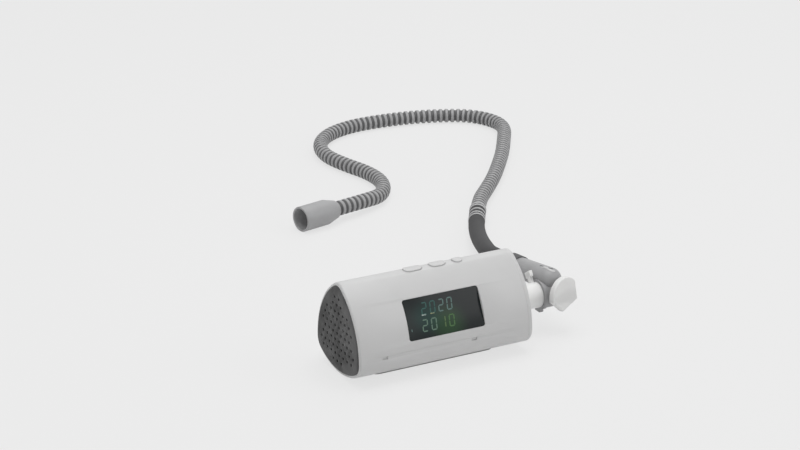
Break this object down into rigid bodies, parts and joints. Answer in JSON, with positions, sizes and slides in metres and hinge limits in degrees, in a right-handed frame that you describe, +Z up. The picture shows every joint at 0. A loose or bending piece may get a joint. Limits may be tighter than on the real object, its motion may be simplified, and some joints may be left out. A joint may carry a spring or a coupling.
{
  "type": "cpap machine",
  "caption": "Small travel breathing machine with a rounded three-sided body, front display, top keys, vented filter cap, swivel elbow and slim ribbed hose.",
  "frame": {"origin": "centre of the foot pad's flat lower face, on the surface that the machine stands on", "axes": "+X along the body from the filter cap to the outlet, +Y to the back, where the hose leads, +Z up"},
  "size_m": [0.469, 0.6317, 0.0866],
  "materials": {
    "white_shell": "satin moulded shell",
    "white_cap": "satin",
    "port_white": "satin",
    "dark_grey_plastic": "fine grain",
    "elbow_grey": "satin",
    "sleeve_rubber": "smooth",
    "hose_grey": "ribbed",
    "foot_rubber": "matt",
    "silicone": "translucent",
    "filter_foam": "open foam",
    "acoustic_foam": "open foam",
    "black_glass": "gloss",
    "display_module": "gloss",
    "circuit_board": "solder mask",
    "chip_black": "matt",
    "inner_plastic": "plain",
    "blower_plastic": "plain",
    "impeller_plastic": "plain",
    "motor_steel": "laminated",
    "bearing_steel": "ground",
    "contact_metal": "plated"
  },
  "bodies": {
    "root": {"main_housing": "white_shell", "base_cover": "white_shell", "outlet_end_cover": "white_shell", "foot_pad": "foot_rubber", "inlet_frame": "inner_plastic", "silencer_foam": "acoustic_foam", "display_lens": "black_glass", "display_panel": "display_module", "display_board": "circuit_board", "button_board": "circuit_board", "left_key_dome": "silicone", "middle_key_dome": "silicone", "right_key_dome": "silicone", "blower_casing": "blower_plastic", "blower_lid": "blower_plastic", "blower_mounts": "silicone", "motor_lid": "blower_plastic", "motor_stator": "motor_steel", "motor_bearings": "bearing_steel", "outlet_duct": "silicone", "outlet_port": "port_white", "port_seal": "silicone", "main_board": "circuit_board", "board_chips": "chip_black", "pressure_sensor": "chip_black", "dc_inlet": "chip_black", "dc_pin": "contact_metal", "hose_sleeve": "sleeve_rubber", "sleeve_collar": "sleeve_rubber", "hose": "hose_grey", "hose_connector": "elbow_grey"},
    "filter_cover": {"filter_cover": "dark_grey_plastic", "filter_pad": "filter_foam"},
    "left_key": {"left_key": "white_cap"},
    "middle_key": {"middle_key": "white_cap"},
    "right_key": {"right_key": "white_cap"},
    "rotor": {"impeller": "impeller_plastic", "rotor_magnet": "motor_steel", "motor_shaft": "bearing_steel"},
    "elbow": {"swivel_ring": "sleeve_rubber", "elbow_body": "elbow_grey", "machine_cuff": "elbow_grey"},
    "elbow_cap": {"elbow_cap": "white_cap", "cap_seal": "silicone"}
  },
  "joints": [
    {"name": "filter_cover_pull", "type": "slide", "parent": "root", "child": "filter_cover", "axis": [-1, 0, 0], "range_m": [0, 0.02]},
    {"name": "left_key_press", "type": "slide", "parent": "root", "child": "left_key", "axis": [0, 0, -1], "range_m": [0, 0.0008], "stiffness_N_per_m": 1500, "springref_m": -0.0002, "deforming": ["left_key_dome"]},
    {"name": "middle_key_press", "type": "slide", "parent": "root", "child": "middle_key", "axis": [0, 0, -1], "range_m": [0, 0.0008], "stiffness_N_per_m": 1500, "springref_m": -0.0002, "deforming": ["middle_key_dome"]},
    {"name": "right_key_press", "type": "slide", "parent": "root", "child": "right_key", "axis": [0, 0, -1], "range_m": [0, 0.0008], "stiffness_N_per_m": 1500, "springref_m": -0.0002, "deforming": ["right_key_dome"]},
    {"name": "rotor_spin", "type": "hinge", "parent": "root", "child": "rotor", "pos_m": [-0.036, 0.0015, 0.037], "axis": [0, 0, 1], "continuous": true},
    {"name": "elbow_swivel", "type": "hinge", "parent": "root", "child": "elbow", "pos_m": [0.1155, 0, 0.0353], "axis": [1, 0, 0], "range_deg": [-12, 25], "deforming": ["hose_sleeve"]},
    {"name": "elbow_cap_turn", "type": "hinge", "parent": "elbow", "child": "elbow_cap", "pos_m": [0.13249, -0.01475, 0.03701], "axis": [0.3072, -0.9453, 0.1097], "range_deg": [0, 45]}
  ]
}
